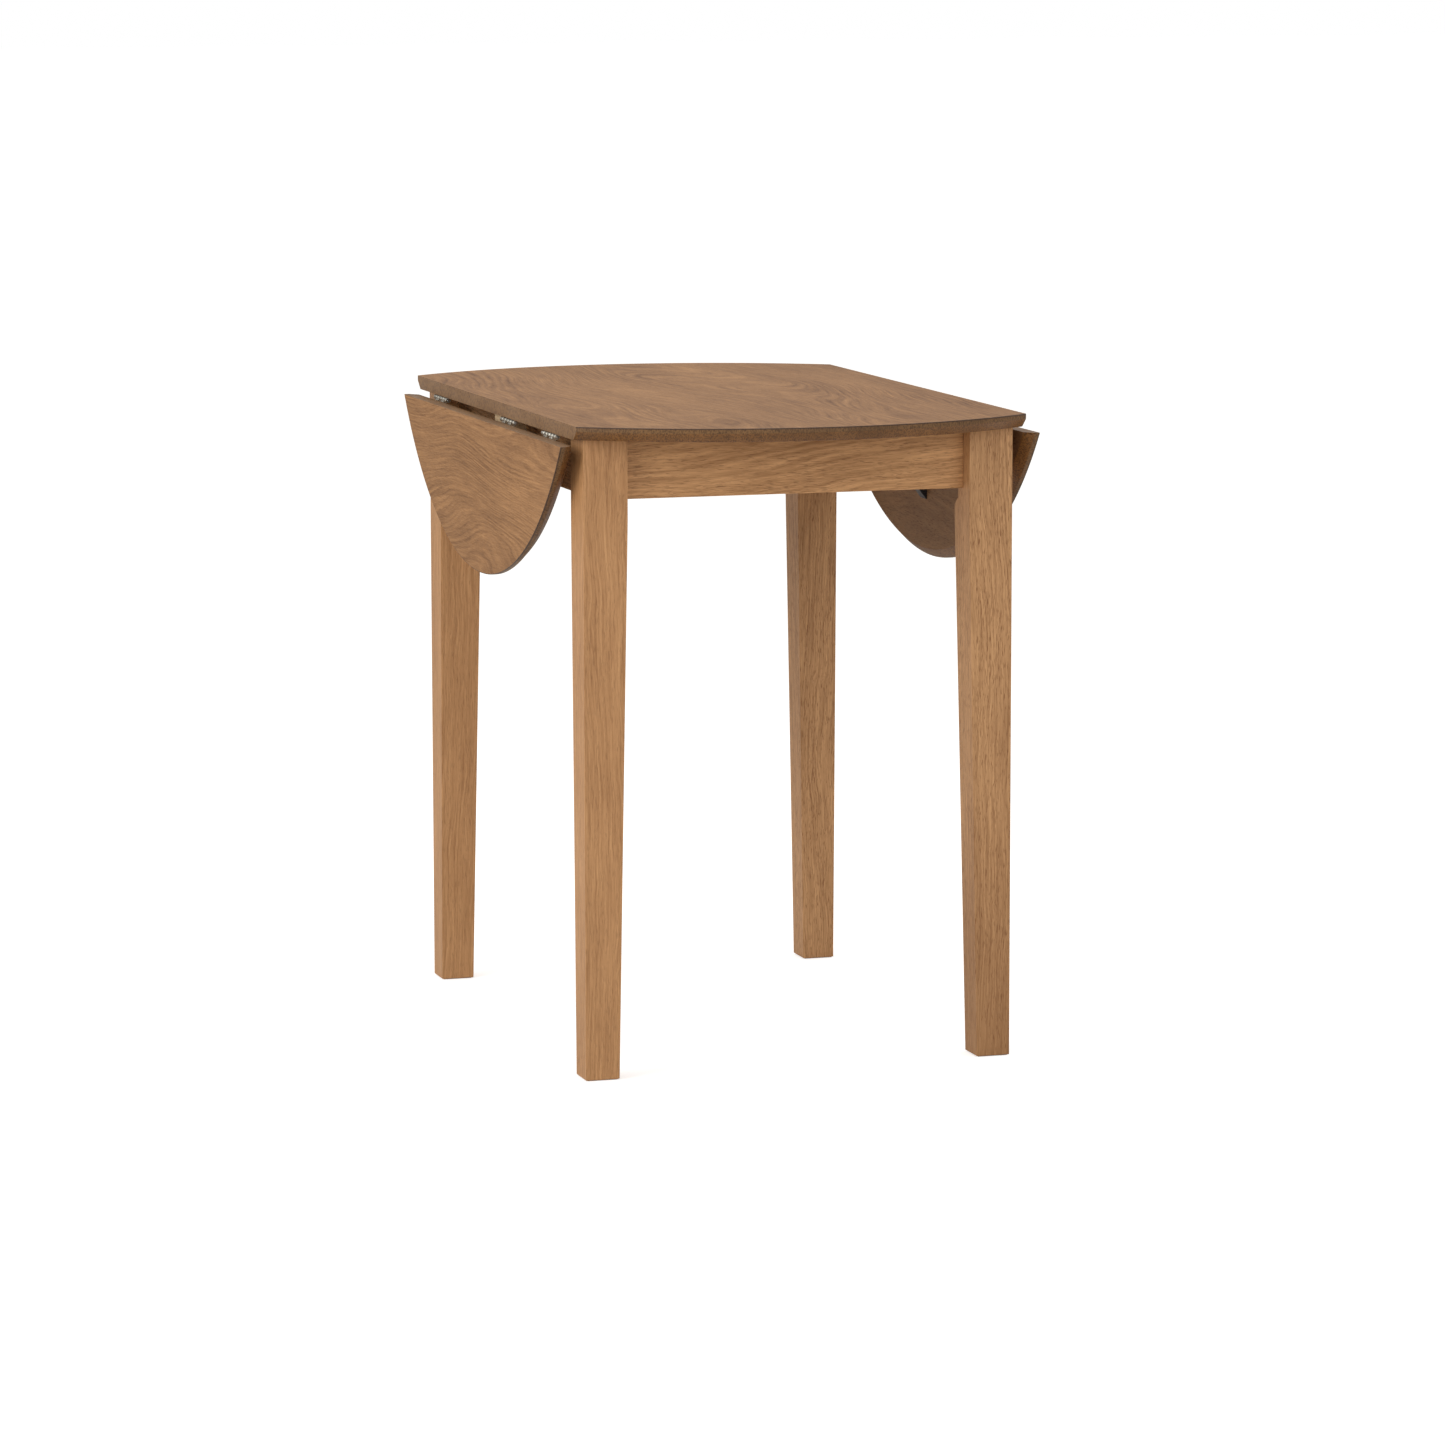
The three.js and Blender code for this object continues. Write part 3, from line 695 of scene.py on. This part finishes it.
# Hinges: each half is a flat plate with its share of rolled knuckles
hingeValues = {
    "knuckleRadius": 3.0 * mm, "thickness": 1.5 * mm, "pinRadius": 1.5 * mm, "pinPlay": 0.05 * mm,
    "knuckles": 5, "gap": 0.3 * mm, "drop": 3.45 * mm, "width": 25 * mm, "cornerRound": 3 * mm,
    "ease": 0.25 * mm, "sharp": 0.8,
    "neck": 1.0 * mm,           # how far the roll's root reaches into the plate, and out of it
    "skin": 0.1 * mm,           # how deep the root lies inside the plate
    "rollFrom": -18, "rollTurn": 308, "rollSteps": 22,
    "pinShares": (0.55, 0.86), "pinEases": (0.12 * mm, 0.4 * mm), "pinSides": 24,
    "outerScrews": 13.5 * mm,   # from the pin to the two outer screws, and to the middle one
    "middleScrew": 18.0 * mm, "screwInset": 9 * mm,
}


# In a frame with the pin along Y at 0, the plate running to -X and the wood above it at Z = drop
def hingeHalfShape(length, first):
    v = hingeValues
    bm = bmesh.new()
    half, clear, corner = length / 2, v["knuckleRadius"] + v["gap"], v["cornerRound"]
    under = v["drop"] - v["thickness"]
    far = corner - v["width"]
    outline = [(-clear, -half), (-clear, half)]
    outline += cornerArc((far, half - corner), corner, 90, 180, 6)
    outline += cornerArc((far, corner - half), corner, 180, 270, 6)
    addSwept(bm, outline, under, v["drop"])
    edges = [e for e in bm.edges if e.calc_face_angle() > v["sharp"]]
    bmesh.ops.bevel(bm, geom=edges, offset=v["ease"], segments=2, profile=0.5, affect="EDGES")
    outer, inner = v["knuckleRadius"], v["pinRadius"] + v["pinPlay"]
    steps = v["rollSteps"]
    turns = [math.radians(v["rollFrom"] + v["rollTurn"] * k / steps) for k in range(steps + 1)]
    root, neck, skin = -clear, v["neck"], v["skin"]
    curl = [(root - neck, v["drop"] - skin), (root + neck, v["drop"] - skin)]
    curl += [(outer * math.sin(a), outer * math.cos(a)) for a in turns]
    curl += [(inner * math.sin(a), inner * math.cos(a)) for a in reversed(turns)]
    curl += [(root + neck, under + skin / 2), (root - neck, under + skin)]
    rolled = set(range(1, steps + 2)) | set(range(steps + 3, 2 * steps + 4))
    alongY = Matrix(((1, 0, 0, 0), (0, 0, 1, 0), (0, 1, 0, 0), (0, 0, 0, 1)))
    step, last = length / v["knuckles"], v["knuckles"] - 1
    for index in range(first, v["knuckles"], 2):
        low = -half + index * step + (0 if index == 0 else v["gap"] / 2)
        high = -half + (index + 1) * step - (0 if index == last else v["gap"] / 2)
        addSwept(bm, curl, low, high, alongY, rolled)
    return bm


def makeHinge(sideName, side, place):
    v = hingeValues
    stem = f"hinge_{sideName}_{place}"
    joint = jointOf[sideName + "_leaf"]
    low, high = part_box(stem + "_pin")
    middle = (low + high) / 2
    plateLow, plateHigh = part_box(stem + "_panel_plate")
    length = plateHigh.y - plateLow.y
    inward = Matrix.Translation(middle) @ Matrix.Rotation(0 if side > 0 else math.pi, 4, "Z")
    hanging = (Matrix.Translation(middle) @ Matrix.Rotation(-math.pi / 2, 4, Vector(joint["axis"]))
               @ Matrix.Rotation(math.pi if side > 0 else 0, 4, "Z"))
    ends = length / 2 - v["screwInset"]
    spots = [(-v["outerScrews"], -ends), (-v["middleScrew"], 0), (-v["outerScrews"], ends)]
    under = v["drop"] - v["thickness"]
    halves = (("panel_plate", 0, inward, "frame"), ("leaf_plate", 1, hanging, sideName + "_leaf"))
    for part, first, set3d, body in halves:
        bm = hingeHalfShape(length, first)
        bm.transform(set3d)
        finishPiece(camelName(f"{stem}_{part}"), bm, body, ["nickel"], [f"{stem}_{part}"])
        heads = [(set3d @ Vector((p, q, under)), set3d.to_3x3() @ Vector((0, 0, -1))) for p, q in spots]
        makeScrews(camelName(f"{stem}_{part}_screws"), body, heads)
    bm = bmesh.new()
    pinHalf, radius = (high.y - low.y) / 2, v["pinRadius"]
    endShare, shoulderShare = v["pinShares"]
    shoulder, straight = v["pinEases"]
    profile = [(radius * endShare, -pinHalf), (radius * shoulderShare, -pinHalf + shoulder)]
    profile.append((radius, -pinHalf + straight))
    profile += [(r, -z) for r, z in reversed(profile)]
    addTurned(bm, profile, v["pinSides"], Matrix.Translation(middle) @ Matrix.Rotation(math.pi / 2, 4, "X"))
    finishPiece(camelName(stem + "_pin"), bm, "frame", ["zinc"], [stem + "_pin"])


for sideName, side in bothSides:
    for place in ("front", "middle", "back"):
        makeHinge(sideName, side, place)
print("hinges made")


# Corner bolts with rolled thread, and flange nuts
boltValues = {
    "radius": 4.0 * mm, "threadDepth": 0.55 * mm, "pitch": 1.6 * mm, "stepsPerPitch": 8, "sides": 28,
    "endTaper": 1.2 * mm, "washerRadius": 11 * mm, "washerThickness": 1.6 * mm, "nutHeight": 8.1 * mm,
    "nutApothem": 6.5 * mm, "nutSides": 72, "play": 0.25 * mm, "ease": 0.6 * mm,
    "endShare": 0.55,           # the bolt's end, of its radius
    "cornerCut": 1.04,          # the nut's rounded top, of its apothem
}


def addThreadedRod(bm, matrix, length):
    v = boltValues
    steps = int(length / v["pitch"] * v["stepsPerPitch"])
    rings = []
    for step in range(steps + 1):
        height = length * step / steps
        taper = min(1, v["endShare"] + min(height, length - height) / v["endTaper"])

        def thread(angle):
            phase = (height / v["pitch"] - angle / tau) % 1
            return (v["radius"] - v["threadDepth"] * abs(2 * phase - 1)) * taper

        rings.append(addRing(bm, matrix, thread, height, v["sides"]))
    for low, high in zip(rings, rings[1:]):
        joinRings(bm, low, high)
    bm.faces.new(rings[0])
    bm.faces.new(rings[-1])


def hexagon(angle):
    return boltValues["nutApothem"] / math.cos((angle + math.pi / 6) % (math.pi / 3) - math.pi / 6)


def hexagonTop(angle):
    return min(hexagon(angle), boltValues["nutApothem"] * boltValues["cornerCut"])


def addFlangeNut(bm, matrix):
    v = boltValues
    bore, rim, ease = v["radius"] + v["play"], v["washerRadius"], v["ease"]
    flange, top = v["washerThickness"], v["nutHeight"]
    profile = [(bore, 0.0), (rim - ease / 2, 0.0), (rim, ease / 2), (rim, flange - ease),
               (rim - ease, flange), (hexagon, flange + ease / 6), (hexagon, top - 1.6 * ease),
               (hexagonTop, top), (bore + ease, top), (bore, top - ease)]
    rings = [addRing(bm, matrix, radius, height, v["nutSides"]) for radius, height in profile]
    for low, high in zip(rings, rings[1:] + rings[:1]):
        joinRings(bm, low, high, False)


def makeCornerBolt(corner):
    v = boltValues
    boltLow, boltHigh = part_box("hanger_bolt_" + corner)
    nutLow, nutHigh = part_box("flange_nut_" + corner)
    middle = (boltLow + boltHigh) / 2
    inward = Vector((-math.copysign(1, middle.x), -math.copysign(1, middle.y), 0)).normalized()
    turn = Vector((0, 0, 1)).rotation_difference(inward).to_matrix().to_4x4()
    # The bolt lies on the diagonal, so its box is wider than it by its own thickness
    length = (boltHigh.x - boltLow.x - 2 * v["radius"] / math.sqrt(2)) * math.sqrt(2)
    start = middle - inward * length / 2
    bm = bmesh.new()
    addThreadedRod(bm, Matrix.Translation(start) @ turn, length)
    finishPiece(camelName("hanger_bolt_" + corner), bm, "frame", ["zinc"], ["hanger_bolt_" + corner])
    seat = start + inward * (((nutLow + nutHigh) / 2 - start).dot(inward) - v["nutHeight"] / 2)
    bm = bmesh.new()
    addFlangeNut(bm, Matrix.Translation(seat) @ turn)
    finishPiece(camelName("flange_nut_" + corner), bm, "frame", ["zinc"], ["flange_nut_" + corner])


for corner in corners:
    makeCornerBolt("_".join(corner))
print("corner bolts made")


catchValues = {"round": 0.9 * mm, "segments": 3, "minAngle": 20, "screwBelow": 9 * mm}


def makeCatch(sideName, side):
    v = catchValues
    node = sideName + "_leaf_catch"
    bm = easedShape(node, v["round"], v["segments"], v["minAngle"])
    finishPiece(camelName(node), bm, sideName + "_leaf", ["blackPlastic"], [node])
    low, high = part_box(node)
    face = low.x if side > 0 else high.x
    head = (Vector((face, 0, high.z - v["screwBelow"])), Vector((-side, 0, 0)))
    makeScrews(camelName(node + "_screw"), sideName + "_leaf", [head])


pegValues = {"endShare": 0.8, "shoulderShare": 0.95, "shoulder": 0.5 * mm, "ease": 1.2 * mm, "sides": 40,
             "seed": 90}


def makePeg(sideName):
    v = pegValues
    node = sideName + "_bar_stop_peg"
    low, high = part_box(node)
    middle = (low + high) / 2
    radius, half = (high.x - low.x) / 2, (high.z - low.z) / 2
    bm = bmesh.new()
    profile = [(radius * v["endShare"], -half), (radius * v["shoulderShare"], -half + v["shoulder"])]
    profile += [(radius, -half + v["ease"]), (radius, half)]
    addTurned(bm, profile, v["sides"], Matrix.Translation(middle))
    finishPiece(camelName(node), bm, sideName + "_bar", ["rawWood"], [node], (0, 0, 1), (1, 0, 0), v["seed"])


angleValues = {
    "round": 0.5 * mm, "segments": 2, "minAngle": 40, "thickness": 2 * mm,
    "topScrew": 0.14, "apronScrew": 0.4, "screwSize": 0.9,      # places as shares of the arm's length
}


def makeAngle(node, inward):
    v = angleValues
    low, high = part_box(node)
    bm = easedShape(node, v["round"], v["segments"], v["minAngle"])
    finishPiece(camelName(node), bm, "frame", ["nickel"], [node])
    middle = (low + high) / 2
    inward = Vector(inward)
    wide = high - low
    arm = max(wide.x, wide.y)
    thickness = v["thickness"]
    centre = Vector((middle.x, middle.y, high.z))
    onTop = centre + inward * v["topScrew"] * arm - Vector((0, 0, thickness))
    reach = arm / 2 - thickness
    onApron = Vector((middle.x, middle.y, low.z + v["apronScrew"] * arm)) - inward * reach
    places = [(onTop, (0, 0, -1)), (onApron, inward)]
    makeScrews(camelName(node + "_screws"), "frame", places, v["screwSize"])


keeperScrews = {"fromMiddle": 9 * mm, "fromEnd": 7 * mm, "size": 1.1}


def makeKeeperScrews(sideName):
    v = keeperScrews
    low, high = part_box(sideName + "_bar_keeper")
    middle = (low.x + high.x) / 2
    heads = []
    for x in (middle - v["fromMiddle"], middle + v["fromMiddle"]):
        for y in (low.y + v["fromEnd"], high.y - v["fromEnd"]):
            heads.append((Vector((x, y, low.z)), (0, 0, -1)))
    makeScrews(camelName(sideName + "_bar_keeper_screws"), "frame", heads, v["size"])


for sideName, side in bothSides:
    makeCatch(sideName, side)
    makePeg(sideName)
    makeAngle("top_angle_front_" + sideName, (0, 1, 0))
    makeAngle("top_angle_back_" + sideName, (0, -1, 0))
    makeAngle("top_angle_" + sideName, (-side, 0, 0))
    makeKeeperScrews(sideName)
print("small pieces made")


stageValues = {"floor": (0.78, 0.75, 0.71), "floorRoughness": 0.9, "floorGlow": 0.6, "floorHalf": 40,
               "floorBelow": 0.2 * mm, "world": 0.59}


def makeStage():
    bm = bmesh.new()
    half, below = stageValues["floorHalf"], stageValues["floorBelow"]
    outline = ((-half, -half), (half, -half), (half, half), (-half, half))
    bm.faces.new([bm.verts.new((x, y, -below)) for x, y in outline])
    mesh = bpy.data.meshes.new("studioFloor")
    bm.to_mesh(mesh)
    bm.free()
    material, tree, shader = startMaterial("floorWhite")
    shader.inputs["Base Color"].default_value = (*stageValues["floor"], 1)
    shader.inputs["Roughness"].default_value = stageValues["floorRoughness"]
    # Far from the lamps the floor keeps its white to the eye, without lighting the table
    shader.inputs["Emission Color"].default_value = (1, 1, 1, 1)
    seen = newNode(tree, "ShaderNodeLightPath").outputs["Is Camera Ray"]
    glow = mathNode(tree, "MULTIPLY", seen, stageValues["floorGlow"])
    tree.links.new(glow, shader.inputs["Emission Strength"])
    # Seen from under the table the floor is clear
    underneath = newNode(tree, "ShaderNodeNewGeometry").outputs["Backfacing"]
    tree.links.new(mathNode(tree, "SUBTRACT", 1.0, underneath), shader.inputs["Alpha"])
    mesh.materials.append(material)
    floor = bpy.data.objects.new("studioFloor", mesh)
    bpy.context.scene.collection.objects.link(floor)
    world = bpy.data.worlds.new("studio")
    world.use_nodes = True
    background = world.node_tree.nodes["Background"]
    background.inputs["Color"].default_value = (1, 1, 1, 1)
    # The camera sees a white wall behind the floor; the light that the wall gives is softer
    seen = newNode(world.node_tree, "ShaderNodeLightPath").outputs["Is Camera Ray"]
    given = stageValues["world"]
    strength = mathNode(world.node_tree, "MULTIPLY_ADD", seen, 1.0 - given, given)
    world.node_tree.links.new(strength, background.inputs["Strength"])
    bpy.context.scene.world = world


softboxes = {
    "leftSoftbox": {"place": (-3.2, -1.2, 2.0), "aim": (0, 0, 0.45), "size": (2.2, 2.6), "power": 66},
    "frontSoftbox": {"place": (0.8, -4.2, 1.9), "aim": (0, 0, 0.45), "size": (3.0, 2.4), "power": 26},
    "overheadSoftbox": {"place": (0.2, 0.3, 3.4), "aim": (0, 0, 0.7), "size": (3.0, 3.0), "power": 36},
}


def makeSoftbox(name, place, aim, size, power):
    light = bpy.data.lights.new(name, "AREA")
    light.shape = "RECTANGLE"
    light.size, light.size_y = size
    light.energy = power
    lamp = bpy.data.objects.new(name, light)
    lamp.location = place
    lamp.rotation_euler = (Vector(aim) - Vector(place)).to_track_quat("-Z", "Y").to_euler()
    bpy.context.scene.collection.objects.link(lamp)


cameraValues = {"place": (-2.0434, -6.7052, 1.3611), "turn": -17.061, "pitch": 8.170, "roll": -0.08,
                "lens": 147.1, "sensor": 36.0, "near": 0.1, "far": 200}


def makeCamera():
    v = cameraValues
    data = bpy.data.cameras.new("camera")
    data.sensor_width = v["sensor"]
    data.lens = v["lens"]
    data.clip_start = v["near"]
    data.clip_end = v["far"]
    camera = bpy.data.objects.new("camera", data)
    camera.location = v["place"]
    turn, pitch, roll = (math.radians(v[key]) for key in ("turn", "pitch", "roll"))
    camera.rotation_euler = (Matrix.Rotation(turn, 3, "Z") @ Matrix.Rotation(math.pi / 2 - pitch, 3, "X")
                             @ Matrix.Rotation(roll, 3, "Z")).to_euler()
    bpy.context.scene.collection.objects.link(camera)
    bpy.context.scene.camera = camera


makeStage()
for name, values in softboxes.items():
    makeSoftbox(name, **values)
makeCamera()
bpy.context.scene.view_settings.view_transform = "Standard"
print("stage, light and camera made")
